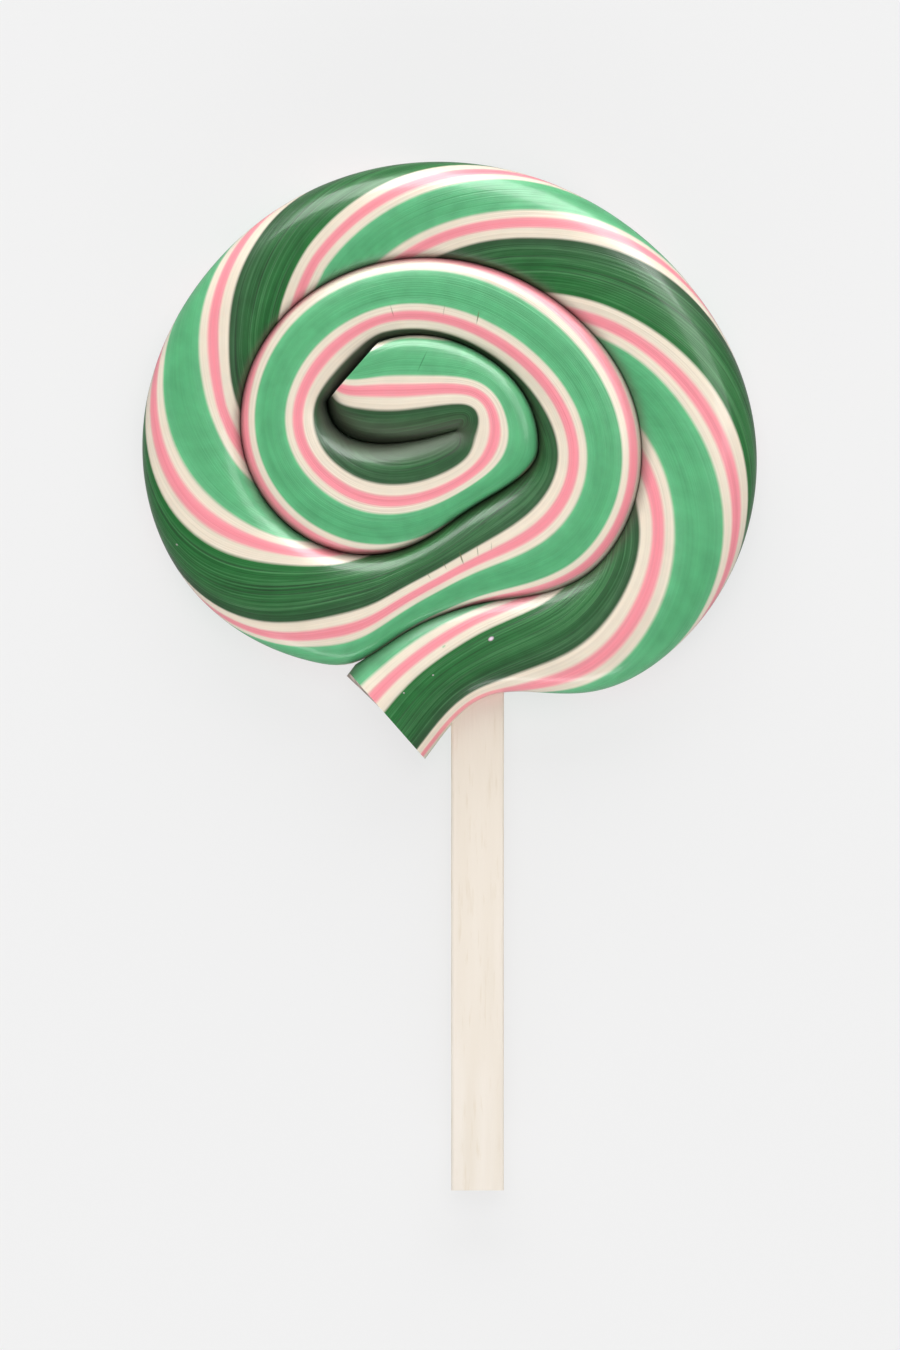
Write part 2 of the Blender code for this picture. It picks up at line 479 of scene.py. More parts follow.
    def veined(
        self, graph: Graph, drawn: Socket, streaks: Socket, bands: Socket, in_dark: Socket
    ) -> Socket:
        """Adds pale streaks and dark veins to the dark green.

        Args:
            graph: The material's graph.
            drawn: The place on the skin, drawn out along the rope.
            streaks: The fine and broad streaks.
            bands: The stripes' colour.
            in_dark: 1 in the dark green.

        Returns:
            The colour with both.
        """
        pale = graph.math("MULTIPLY", graph.spread(streaks, *self.pale_range), self.pale_share)
        veins = graph.noise(drawn, self.vein_scale, 1.5, self.vein_stir)
        vein = graph.math("MULTIPLY", graph.spread(veins, *self.vein_range), self.vein_share)
        paler = graph.mix(graph.math("MULTIPLY", in_dark, pale), bands, self.dark_pale)
        return graph.mix(graph.math("MULTIPLY", in_dark, vein), paler, self.dark_vein)

    def marked(self, graph: Graph, skin: Socket, colour: Socket) -> Socket:
        """Adds the hairline cracks, the open bubble and the flecks to the colour.

        Args:
            graph: The material's graph.
            skin: The place on the rope's skin, along it and across it, in metres.
            colour: The colour so far.

        Returns:
            The colour with the marks.
        """
        for mark in self.marks:
            inputs = {
                "Vector": skin,
                "Location": (mark.place[0] * MM, mark.place[1] * MM, 0.0),
                "Rotation": (0.0, 0.0, math.radians(mark.lean)),
                "Scale": (mark.half_size[0] * MM, mark.half_size[1] * MM, 1.0),
            }
            local = graph.add("ShaderNodeMapping", inputs, vector_type="TEXTURE").outputs[0]
            far = graph.add("ShaderNodeVectorMath", {0: local}, operation="LENGTH").outputs["Value"]
            share = graph.math("MULTIPLY", graph.spread(far, *self.mark_edge), mark.strength)
            colour = graph.mix(share, colour, mark.shade)
        return colour

    @staticmethod
    def set_ramp(node: bpy.types.Node, stops: list[tuple[float, Shade]]) -> None:
        """Sets a colour ramp's stops.

        Args:
            node: The ramp's node.
            stops: Pairs of a position and a colour, in order.
        """
        elements = node.color_ramp.elements
        while len(elements) < len(stops):
            elements.new(1.0)
        for element, (position, _) in zip(elements, stops):
            element.position = position
        for element, (_, colour) in zip(elements, stops):
            element.color = colour


@dataclass(frozen=True)
class CutSugar:
    """The matt, crystalline face where the rope was cut."""

    core: Shade = linear(150, 134, 122)
    vein: Shade = linear(214, 196, 184)
    grain_scale: float = 900.0
    vein_range: Pair = (0.45, 0.65)
    bump: Pair = (0.6, 0.2 * MM)
    roughness: float = 0.35

    def make(self) -> Material:
        """Makes the material."""
        made, graph, shader = new_material("cut_sugar")
        place = graph.add("ShaderNodeTexCoord").outputs["Object"]
        grains = graph.noise(place, self.grain_scale, 5.0)
        share = graph.spread(grains, *self.vein_range)
        graph.feed(shader.inputs["Base Color"], graph.mix(share, self.core, self.vein))
        graph.roughen(shader, grains, *self.bump)
        shader.inputs["Roughness"].default_value = self.roughness
        return made


@dataclass(frozen=True)
class BareWood:
    """Pale birch with a fine straight grain along the stick."""

    pale: Shade = linear(232, 224, 214)
    grain: Shade = linear(224, 214, 200)
    pore: Shade = linear(214, 199, 176)
    # Painted shade: the wood's colour nearest the candy
    candy_shaded: Shade = linear(230, 218, 202)
    # Painted shade: the wood darkens along the stick, from its foot towards the candy
    candy_shade_range: Pair = (-0.062, -0.004)
    candy_shade_share: float = 0.75
    stretch: float = 0.09
    fibre_scale: float = 2400.0
    grain_scale: float = 420.0
    grain_range: Pair = (0.35, 0.70)
    pore_range: Pair = (0.58, 0.80)
    pore_share: float = 0.6
    bump: Pair = (0.35, 0.06 * MM)
    roughness: float = 0.72

    def make(self) -> Material:
        """Makes the material."""
        made, graph, shader = new_material("bare_wood")
        place = graph.add("ShaderNodeTexCoord").outputs["Object"]
        height = graph.add("ShaderNodeSeparateXYZ", {0: place}).outputs[1]
        scale = (1.0, self.stretch, 1.0)
        drawn = graph.add("ShaderNodeMapping", {"Vector": place, "Scale": scale}).outputs[0]
        fibres = graph.noise(drawn, self.fibre_scale, 4.0)
        share = graph.spread(graph.noise(drawn, self.grain_scale, 2.0), *self.grain_range)
        clean = graph.mix(share, self.pale, self.grain)
        # Painted shade: the wood gets darker towards the candy
        candy_shade = graph.math("MULTIPLY", graph.spread(height, *self.candy_shade_range), self.candy_shade_share)
        pores = graph.math("MULTIPLY", graph.spread(fibres, *self.pore_range), self.pore_share)
        wood = graph.mix(candy_shade, clean, self.candy_shaded)
        graph.feed(shader.inputs["Base Color"], graph.mix(pores, wood, self.pore))
        graph.roughen(shader, fibres, *self.bump)
        shader.inputs["Roughness"].default_value = self.roughness
        return made


@dataclass(frozen=True)
class PaleFloor:
    """Smooth pale floor of a light table, which glows a little."""

    colour: Shade = linear(118, 118, 118)
    glow: float = 0.685

    def make(self) -> Material:
        """Makes the material."""
        made, _, shader = new_material("pale_floor")
        shader.inputs["Base Color"].default_value = self.colour
        shader.inputs["Emission Color"].default_value = WHITE
        shader.inputs["Emission Strength"].default_value = self.glow
        shader.inputs["Roughness"].default_value = 1.0
        shader.inputs["Specular IOR Level"].default_value = 0.0
        return made


# The rope


class Side(Enum):
    """Which way a part of the rope's skin faces: its factor on the height."""

    FACE = 1.0
    BACK = -1.0


@dataclass
class SwirlPlan:
    """Where the rope lies, seen from above, about the swirl's centre.

    Angles are in degrees clockwise from straight up, and go on counting past a full turn.
    """

    start: float = -35.0
    # Each row is an angle and the seam's distance from the swirl's centre
    seam_knots: Knots = (
        (-35.0, 12.82 * MM), (26.0, 10.36 * MM), (96.0, 11.84 * MM), (105.0, 12.00 * MM),
        (121.0, 11.12 * MM), (175.0, 11.36 * MM), (208.0, 16.92 * MM), (270.0, 23.90 * MM),
        (331.0, 21.71 * MM), (416.0, 21.48 * MM), (445.0, 23.65 * MM), (479.0, 25.04 * MM),
        (495.0, 24.68 * MM), (523.0, 21.50 * MM), (540.0, 22.28 * MM), (553.0, 26.06 * MM),
        (560.0, 29.66 * MM), (568.0, 31.60 * MM), (599.0, 35.48 * MM), (660.0, 33.95 * MM),
        (691.0, 32.69 * MM), (780.0, 34.67 * MM), (810.0, 37.78 * MM), (855.0, 38.30 * MM),
        (870.0, 36.28 * MM), (900.0, 37.05 * MM), (902.6, 39.50 * MM),
    )
    # The points of the curve that the crease follows, from the cut face's tip to the fold's end
    crease: Knots = (
        (-13.56 * MM, 3.36 * MM), (-13.20 * MM, -1.80 * MM), (-7.80 * MM, -3.00 * MM),
        (1.92 * MM, -0.12 * MM),
    )
    # One turn in four spans: along the crease inwards, round the fold's end, along the crease
    # outwards, and past the start's cut face. Each has its angle and its coarse steps.
    spans: tuple[tuple[float, int], ...] = ((62.0, 14), (143.0, 26), (107.0, 14), (48.0, 8))
    tail_steps: int = 4
    slant_from: float = 868.0
    tail_corner: float = 902.6
    # The tail's inner edge leaves the seam before its end, bends, and ends at the cut's corner
    free_steps: int = 1
    tail_bend: Pair = (-10.28 * MM, -28.21 * MM)
    tail_tip: Pair = (-10.81 * MM, -29.18 * MM)

    def __post_init__(self) -> None:
        """Prepares the seam's spline."""
        self.radius = Spline(self.seam_knots)

    def seam(self, turn: Array) -> Array:
        """Plan position of the seam.

        Args:
            turn: Angles along the rope.

        Returns:
            An x and a y for each angle.
        """
        radius = self.radius(turn)
        angle = np.radians(turn)
        return np.stack((radius * np.sin(angle), radius * np.cos(angle)), axis=-1)

    def crease_at(self, t: Array) -> Array:
        """Plan position on the crease.

        Args:
            t: 0 at the cut face's tip and 1 at the fold's end.

        Returns:
            An x and a y for each t.
        """
        a, b, c, d = (np.array(point) for point in self.crease)
        t = np.asarray(t, float)[..., None]
        s = 1.0 - t
        return s ** 3 * a + 3.0 * t * s ** 2 * b + 3.0 * t ** 2 * s * c + t ** 3 * d

    def turns(self, fineness: int) -> Array:
        """Angles of the rope's cross-sections, from its start to the tail's cut.

        Args:
            fineness: Sections for each coarse step.

        Returns:
            The angles, in order.
        """
        steps = np.concatenate([np.full(n * fineness, angle / (n * fineness)) for angle, n in self.spans])
        whole = self.start + np.concatenate(([0.0], np.cumsum(np.tile(steps, 3))))
        counts = [n for _, n in self.spans]
        last = fineness * (2 * sum(counts) + sum(counts[:2]) + self.tail_steps)
        return whole[:last + 1]

    def facing(self, turn: Array) -> Array:
        """Angles on the outer edge that face those on the inner one, with the tail's slant.

        Args:
            turn: Angles on the inner edge, up to the tail's cut.

        Returns:
            Angles on the outer edge.
        """
        return turn - (turn[-1] - self.tail_corner) * ramp(turn, self.slant_from, turn[-1])


@dataclass
class StripePlan:
    """Where the stripes lie on the rope, in a measure that grows as the rope twists.

    One repeat, with a light and a dark green stripe, is 200 of the measure.
    """

    # Each row is an angle along the rope and a value there. Twist is the measure at the rope's
    # middle, slope its change from the middle to the outer edge, bend what both edges add to
    # that, and rim what the outer edge adds again.
    twist_knots: Knots = (
        (-35, -34), (-20, -14), (0, -2), (40, 10), (80, 3), (110, 2), (150, 12), (200, 17), (240, 4),
        (275, -13), (300, -17), (340, -25), (410, -31), (450, -21), (475, -11), (500, -6), (530, 11),
        (550, 24), (560, 27), (575, 52), (600, 110), (645, 193), (665, 243), (700, 325), (740, 403),
        (780, 484), (820, 554), (850, 606), (885, 654), (920, 687),
    )
    slope_knots: Knots = (
        (-35, -59), (30, -60), (150, -51), (220, -67), (300, -62), (400, -60), (480, -75), (540, -74),
        (600, -53), (680, -63), (760, -61), (840, -56), (880, -68), (920, -72),
    )
    bend_knots: Knots = (
        (-35, 12), (0, -10), (60, -17), (130, -20), (180, -33), (225, -42), (265, -23), (300, -12),
        (380, 0), (440, -8), (620, -8), (780, -9), (850, 0), (890, 12), (920, -11),
    )
    rim_knots: Knots = (
        (-35, 16), (-20, 2), (-5, 0), (16, 8), (30, 4), (60, 2), (100, 6), (150, 0), (215, 6), (300, 10),
        (400, 4), (480, -2), (540, -13), (590, -16), (660, 3), (740, -8), (820, -11), (865, -3),
        (890, -7), (920, -22),
    )
    # The stripes crowd together where the free rim curves down, except at the tail
    rim_drop: float = 24.0
    rim_span: Pair = (542.0, 600.0)
    tail_span: Pair = (866.0, 900.0)
    rim_roundness: float = 2.35
    rim_rise: float = 0.75
    wall_drop: float = 3.0
    inner_bend: float = 2.35
    edge_power: int = 8
    curve_points: int = 2000
    repeat: float = 200.0

    def excess(self, across: Array) -> Array:
        """How much longer the way over a free rim's curve is than its plan.

        Args:
            across: Places across the rope.

        Returns:
            The excess at each place, as a share of that at the rim.
        """
        along = np.sin(np.linspace(0.0, 0.5 * np.pi, self.curve_points))
        height = self.rim_rise * (1.0 - along ** self.rim_roundness) ** (1.0 / self.rim_roundness)
        length = np.concatenate(([0.0], np.cumsum(np.hypot(np.diff(along), np.diff(height)))))
        return np.interp(np.maximum(across, 0.0), along, (length - along) / (length[-1] - 1.0))

    def measure(self, turn: Array, across: Array) -> Array:
        """The stripes' measure on the rope's face.

        Args:
            turn: Angles along the rope, one for each row.
            across: Places across it, -1 at the inner edge and 1 at the outer, one for each column.

        Returns:
            A table of rows and columns.
        """
        twist = Spline(self.twist_knots)(turn)[:, None]
        slope = Spline(self.slope_knots)(turn)[:, None]
        bend = Spline(self.bend_knots)(turn)[:, None]
        outwards = np.maximum(across, 0.0) ** self.edge_power
        rounded = ramp(turn, *self.rim_span) * (1.0 - ramp(turn, *self.tail_span))
        round_rim = self.rim_drop * rounded[:, None] * self.excess(across)
        outer = Spline(self.rim_knots)(turn)[:, None] * outwards - round_rim
        inner = self.inner_bend * np.maximum(-across, 0.0) ** self.edge_power
        return twist + slope * across + bend * across ** 2 + outer + inner

    def pattern(self, turn: Array, across: Array, side: float) -> Array:
        """The pattern on one side of the rope, in whole repeats.

        Args:
            turn: Angles along the rope, one for each row.
            across: Places across it, one for each column.
            side: 1 on the face and -1 on the back, which mirrors the face about the rim.

        Returns:
            A table of rows and columns.
        """
        face = self.measure(turn, across)
        if side < 0.0:
            face = 2.0 * (self.measure(turn, np.ones(1)) - self.wall_drop) - face
        return face / self.repeat


@dataclass
class Rope:
    """The candy: a rope of pulled sugar, coiled flat and fused along its seam."""

    plan: SwirlPlan
    stripes: StripePlan
    crest: float = 5.5 * MM
    back_flat: float = 5.0 * MM
    seam_level: float = 3.0 * MM
    core_level: float = 1.7 * MM
    rim_level: float = 0.3 * MM
    crease_levels: Pair = (0.5 * MM, 3.9 * MM)
    crease_power: float = 1.5
    # Between these angles the fullness of the folded start fades, and its seam sinks
    soft_until: Pair = (225.0, 280.0)
    core_until: Pair = (200.0, 300.0)
    # Where the painted groove shade starts: inside and outside a seam, and at the crease's tip and fold
    seam_groove: Pair = (0.76, 0.88)
    crease_groove: Pair = (0.66, 0.42)
    # Painted shade: where the crease's share fades out, its strength at seams and at the fold, and how it
    # gathers towards a groove
    crease_shade_until: Pair = (305.0, 350.0)
    seam_shade: float = 0.4
    fold_shade: float = 0.6
    shade_power: float = 0.8
    rim_from: float = 542.0
    rim_to: float = 585.0
    seam_roundness: float = 2.7
    rim_roundness: float = 2.35
    inner_roundness: float = 2.9
    core_roundness: float = 4.2
    crease_roundness: float = 3.6
    crease_openness: float = 0.4
    unevenness: float = 0.07 * MM
    lump_scale: float = 160.0
    lump_seed: float = 4.0
    fineness: int = 5
    columns: int = 36
    wall_rows: int = 12
    blend_rows: float = 16.0
    blend_share: float = 0.6
    free_level: float = 1.4 * MM
    lean: float = 0.5 * MM
    lean_share: float = 0.42
    sharp_angle: float = math.radians(40.0)
    # What the crown reads at each point
    guides: tuple[str, ...] = ("across", "edge_level", "side", "rim_share", "softness")

    def counts(self) -> list[int]:
        """Steps between cross-sections in each span of a turn."""
        return [n * self.fineness for _, n in self.plan.spans]

    def seam_height(self, turn: Array) -> Array:
        """Height of the seam from the rope's middle: it drops where the rope has no neighbour.

        Args:
            turn: Angles along the rope.

        Returns:
            A height for each angle.
        """
        shallow = self.core_level + (self.seam_level - self.core_level) * ramp(turn, *self.core_until)
        return shallow + (self.rim_level - self.seam_level) * ramp(turn, self.rim_from, self.rim_to)

    def edges(self, turns: Array) -> tuple[Array, Array, Array, Array]:
        """Both edges of the rope.

        Args:
            turns: Angles of the cross-sections.

        Returns:
            The inner edge's places and heights, and the outer edge's places and heights.
        """
        plan = self.plan
        to_fold, round_fold, from_fold, past_cut = self.counts()
        whole = to_fold + round_fold + from_fold + past_cut
        facing = plan.facing(turns)
        outer = plan.seam(facing)
        outer_height = self.seam_height(facing)
        inner = np.empty_like(outer)
        inner_height = np.empty_like(outer_height)
        inner[whole:] = plan.seam(turns[:-whole])
        inner_height[whole:] = self.seam_height(turns[:-whole])
        inwards = np.linspace(0.0, 1.0, to_fold + 1)
        core = np.concatenate((inwards, np.ones(round_fold), inwards[::-1][1:]))
        inner[:len(core)] = plan.crease_at(core)
        deep, shallow = self.crease_levels
        inner_height[:len(core)] = deep + (shallow - deep) * core ** self.crease_power
        share = np.linspace(0.0, 1.0, past_cut + 1)[1:-1]
        tip = plan.crease_at(0.0)
        beside = slice(len(core), whole)
        inner[beside] = tip + share[:, None] * (outer[0] - tip)
        inner_height[beside] = deep + share * (self.core_level - deep)
        self.free_tail(inner, inner_height)
        return inner, inner_height, outer, outer_height

    def valley(self, turns: Array, across: Array) -> Array:
        """How deep each place lies in the grooves between turns, which sets the painted shade there and a
        duller gloss.

        Args:
            turns: Angles of the cross-sections.
            across: Places across the rope, one for each column.

        Returns:
            A table of rows and columns, from 0 on the crest to 1 in the groove.
        """
        # Painted shade: darkest in the crease near its tip, fainter at the fold, and fainter still along
        # every seam but the free rim
        folded = 1.0 - ramp(turns, *self.crease_shade_until)[:, None]
        freed = ramp(self.plan.facing(turns), self.rim_from, self.rim_to)[:, None]
        from_inner, from_outer = self.seam_groove
        seam = ramp(np.abs(across), np.where(across < 0.0, from_inner, from_outer), 1.0)[None]
        to_fold, round_fold, from_fold, _ = (angle for angle, _ in self.plan.spans)
        fold = self.plan.start + to_fold
        away = np.maximum((fold - turns) / to_fold, (turns - fold - round_fold) / from_fold)
        at_tip, at_fold = self.crease_groove
        away = np.clip(away, 0.0, 1.0)[:, None]
        start = at_fold + (at_tip - at_fold) * away
        share = np.clip((-across[None] - start) / (1.0 - start), 0.0, 1.0) ** self.shade_power
        share *= self.fold_shade + (1.0 - self.fold_shade) * away
        inner = self.seam_shade * seam + (share - self.seam_shade * seam) * folded
        return np.where(across[None] < 0.0, inner, self.seam_shade * seam * (1.0 - freed))

    def free_tail(self, inner: Array, inner_height: Array) -> None:
        """Takes the last of the tail's inner edge off the seam, round the cut's corner.

        Args:
            inner: The inner edge's places, changed here.
            inner_height: The inner edge's heights, changed here.
        """
        free = self.plan.free_steps * self.fineness
        legs = np.array((inner[-1 - free], self.plan.tail_bend, self.plan.tail_tip))
        walked = np.concatenate(([0.0], np.cumsum(np.linalg.norm(np.diff(legs, axis=0), axis=1))))
        share = np.linspace(0.0, 1.0, free + 1)
        for axis in (0, 1):
            inner[-1 - free:, axis] = np.interp(share * walked[-1], walked, legs[:, axis])
        start = inner_height[-1 - free]
        inner_height[-1 - free:] = start + (self.free_level - start) * share

    def softened(self, edge: Array, spread: float) -> Array:
        """Smooths an edge's places along the rope, with both ends held.

        Args:
            edge: Places along the edge.
            spread: How far the smoothing reaches, in cross-sections.

        Returns:
            The smoothed places.
        """
        reach = int(math.ceil(3.0 * spread))
        if reach == 0:
            return edge
        weights = np.exp(-0.5 * (np.arange(-reach, reach + 1) / spread) ** 2)
        weights /= weights.sum()
        before = 2.0 * edge[0] - edge[reach:0:-1]
        after = 2.0 * edge[-1] - edge[-2:-reach - 2:-1]
        padded = np.concatenate((before, edge, after))
        return np.stack([np.convolve(padded[:, axis], weights, "valid") for axis in (0, 1)], axis=1)

    def flat(self, inner: Array, outer: Array, across: Array, folded: Array) -> Array:
        """Plan positions of the skin's points: corners of the edges fade away from them.

        Args:
            inner: The inner edge's places.
            outer: The outer edge's places.
            across: Places across the rope.
            folded: 1 for each section whose inner edge is the crease.

        Returns:
            An x and a y for each section and column.
        """
        share = 0.5 * (1.0 + across)
        columns = []
        for part in share:
            spread, facing = (
                self.blend_rows * math.sin(0.5 * math.pi * min(1.0, reach / self.blend_share))
                for reach in (part, 1.0 - part)
            )
            soft = outer + (self.softened(outer, facing) - outer) * folded[:, None]
            columns.append(self.softened(inner, spread) * (1.0 - part) + soft * part)
        return np.stack(columns, axis=1)

    def inner_source(self, row: int, last: int) -> tuple[int, int] | None:
        """Finds the earlier point that a section's inner end shares.

        Args:
            row: The section's number.
            last: The last section's number.

        Returns:
            The row and column of the shared point, or None where the end is new.
        """
        to_fold, round_fold, from_fold, past_cut = self.counts()
        whole = to_fold + round_fold + from_fold + past_cut
        tip = whole - past_cut
        if row > last - self.plan.free_steps * self.fineness:
            return None
        if row >= whole:
            return row - whole, self.columns
        if row > tip or row <= to_fold:
            return None
        if row <= to_fold + round_fold:
            return to_fold, 0
        return tip - row, 0

    def point_table(self, rows: int, first: int) -> tuple[Array, int]:
        """Numbers the skin's points, where turns share the points on their seam.

        Args:
            rows: How many cross-sections there are.
            first: The first free number.

        Returns:
            A table of numbers by row and column, and the next free number.
        """
        table = np.zeros((rows, self.columns + 1), int)
        number = first
        for row in range(rows):
            source = self.inner_source(row, rows - 1)
            for column in range(self.columns + 1):
                if column == 0 and source is not None:
                    table[row, 0] = table[source]
                else:
                    table[row, column] = number
                    number += 1
        return table, number

    def wall_spots(self, rows: int) -> tuple[Array, Array]:
        """Lists where the skin's open border runs: free rim, tail's cut, tail's free inner edge.

        Args:
            rows: How many cross-sections there are.

        Returns:
            The row and the column of each place, round the border, its end being its start.
        """
        whole = sum(self.counts())
        leave = rows - 1 - self.plan.free_steps * self.fineness
        rim = np.arange(leave - whole, rows)
        cut = np.arange(self.columns - 1, -1, -1)
        free = np.arange(rows - 2, leave, -1)
        return (
            np.concatenate((rim, np.full(len(cut), rows - 1), free)),
            np.concatenate((np.full(len(rim), self.columns), cut, np.zeros(len(free), int))),
        )

    def wall_table(self, face: Array, back: Array, first: int) -> Array:
        """Numbers the points of the wall that joins the face's open border to the back's.

        Args:
            face: Numbers of the points on the shown side.
            back: Numbers of the points on the back.
            first: The first free number.

        Returns:
            A table of numbers by place round the border and depth.
        """
        spots = self.wall_spots(len(face))
        count = len(spots[0])
        table = np.zeros((count, self.wall_rows + 1), int)
        table[:, 0] = face[spots]
        table[:, -1] = back[spots]
        table[:, 1:-1] = first + np.arange(count * (self.wall_rows - 1)).reshape(count, -1)
        return table

    def build(self, name: str, centre: Vector) -> bpy.types.Object:
        """Builds the flat ribbon of the rope's skin, with what its crown needs.

        Args:
            name: The object's name.
            centre: The swirl's centre, at the rope's middle height.

        Returns:
            The ribbon, still flat at the rope's middle.
        """
        turns = self.plan.turns(self.fineness)
        rows = len(turns)
        inner, inner_height, outer, outer_height = self.edges(turns)
        across = -np.cos(np.pi * np.arange(self.columns + 1) / self.columns)
        share = 0.5 * (1.0 + across)
        level = inner_height[:, None] * (1.0 - share) + outer_height[:, None] * share
        freed = ramp(self.plan.facing(turns), self.rim_from, self.rim_to)
        folded = 1.0 - ramp(turns, *self.soft_until)
        middle = 0.5 * (inner + outer)
        walked = np.concatenate(([0.0], np.cumsum(np.linalg.norm(np.diff(middle, axis=0), axis=1))))
        flat = self.flat(inner, outer, across, folded)

        face, next_free = self.point_table(rows, 0)
        back, next_free = self.point_table(rows, next_free)
        walls = self.wall_table(face, back, next_free)
        total = int(walls.max()) + 1
        points = np.zeros((total, 3))
        held = {key: np.zeros(total) for key in (*self.guides, "valley")}
        tables = {
            "across": np.broadcast_to(across, level.shape),
            "edge_level": level,
            "rim_share": np.broadcast_to(freed[:, None], level.shape),
            "softness": np.broadcast_to(folded[:, None], level.shape),
            "valley": self.valley(turns, across),
        }
        spots = self.wall_spots(rows)
        sides = np.linspace(Side.FACE.value, Side.BACK.value, self.wall_rows + 1)
        for depth, side in enumerate(sides):
            ring = walls[:, depth]
            points[ring, :2] = flat[spots] + self.cut_lean(flat, spots, side)
            held["side"][ring] = side
            for key, values in tables.items():
                held[key][ring] = values[spots]
        for table, side in ((face, Side.FACE), (back, Side.BACK)):
            points[table, :2] = flat
            held["side"][table] = side.value
            for key, values in tables.items():
                held[key][table] = values
        points += np.array(centre)

        faces, maps, cut_faces = self.skin(turns, across, walked, face, back, walls)
        mesh = bpy.data.meshes.new(name)
        mesh.from_pydata(points.tolist(), [], faces)
        for key, values in held.items():
            mesh.attributes.new(key, "FLOAT", "POINT").data.foreach_set("value", values)
        marks = mesh.attributes.new("cut_face", "BOOLEAN", "FACE")
        marks.data.foreach_set("value", cut_faces)
        layer = mesh.uv_layers.new(name="rope")
        layer.data.foreach_set("uv", np.array(maps).ravel())
        return new_object(name, mesh)

    def cut_lean(self, flat: Array, spots: tuple[Array, Array], side: float) -> Array:
        """Leans the tail's cut face outwards at its inner corner, where the photo shows some of it.

        Args:
            flat: Plan positions of the skin's points.
            spots: The row and the column of each place round the open border.
            side: Where on the wall the places lie, 1 at the face and -1 at the back.

        Returns:
            How far each place moves, in x and y.
        """
        row_at, column_at = spots
        edge = flat[-1, -1] - flat[-1, 0]
        outwards = np.array((edge[1], -edge[0])) / np.linalg.norm(edge)
        if np.dot(outwards, flat[-1, 0] - flat[-2, 0]) < 0.0:
            outwards = -outwards
        share = 0.5 * (1.0 - np.cos(np.pi * column_at / self.columns))
        fade = np.clip(1.0 - share / self.lean_share, 0.0, 1.0) * (row_at == len(flat) - 1)
        return self.lean * (1.0 - side ** 2) * fade[:, None] * outwards

    def skin(
        self,
        turns: Array,
        across: Array,
        walked: Array,
        face: Array,
        back: Array,
        walls: Array,
    ) -> tuple[list[list[int]], list[Pair], list[bool]]:
        """Joins the points with faces that all point outwards.

        Args:
            turns: Angles of the cross-sections.
            across: Places of the columns.
            walked: Distance along the rope at each section.
            face: Numbers of the points on the shown side.
            back: Numbers of the points on the back.
            walls: Numbers of the points round the open border.

        Returns:
            The faces' points, the map's place at each corner, and which faces are cut.
        """
        faces: list[list[int]] = []
        maps: list[Pair] = []
        cut_faces: list[bool] = []

        def put(corners: list[int], places: list[Pair], is_cut: bool) -> None:
            """Adds a face, without the corners that a shared point repeats.

            Args:
                corners: Numbers of its points.
                places: The map's place at each corner.
                is_cut: Whether it is a cut face.
            """
            kept = [i for i, corner in enumerate(corners) if corner != corners[i - 1]]
            faces.append([corners[i] for i in kept])
            maps.extend(places[i] for i in kept)
            cut_faces.append(is_cut)

        rows = len(turns)
        tables = {}
        for table, side in ((face, Side.FACE), (back, Side.BACK)):
            pattern = self.stripes.pattern(turns, across, side.value)
            tables[side] = pattern
            for i in range(rows - 1):
                for k in range(self.columns):
                    ring = [(i, k), (i + 1, k), (i + 1, k + 1), (i, k + 1)]
                    if side is Side.BACK:
                        ring.reverse()
                    put([table[r] for r in ring], [(walked[r[0]], pattern[r]) for r in ring], False)
        whole = sum(self.counts())
        shown = tables[Side.FACE]
        row_at, column_at = self.wall_spots(rows)
        border = len(row_at)
        twist = 2.0 * self.stripes.wall_drop / self.stripes.repeat / self.wall_rows
        for i in range(border):
            after = (i + 1) % border
            is_cut = row_at[i] == rows - 1 and row_at[after] == rows - 1
            for j in range(self.wall_rows):
                spots = ((i, j), (after, j), (after, j + 1), (i, j + 1))
                places = []
                for n, depth in spots:
                    sunk = twist * depth * (column_at[n] > 0)
                    places.append((walked[row_at[n]], shown[row_at[n], column_at[n]] - sunk))
                put([walls[spot] for spot in spots], places, bool(is_cut))
        passed = self.counts()[-1]
        for table in (face, back):
            beside = [table[i, 0] for i in range(whole - passed + 1, whole)]
            ring = list(table[0]) + beside[::-1]
            if table is back:
                ring.reverse()
            put(ring, [(0.0, shown[0, 0])] * len(ring), True)
        return faces, maps, cut_faces

    def crown_sizes(self) -> dict[str, float]:
        """The crown's sizes, by the names of its tree's inputs."""
        return {
            "Crest": self.crest, "Back Flat": self.back_flat,
            "Seam Roundness": self.seam_roundness, "Rim Roundness": self.rim_roundness,
            "Inner Roundness": self.inner_roundness, "Core Roundness": self.core_roundness,
            "Crease Roundness": self.crease_roundness, "Crease Openness": self.crease_openness,
            "Unevenness": self.unevenness, "Lump Scale": self.lump_scale, "Seed": self.lump_seed,
        }

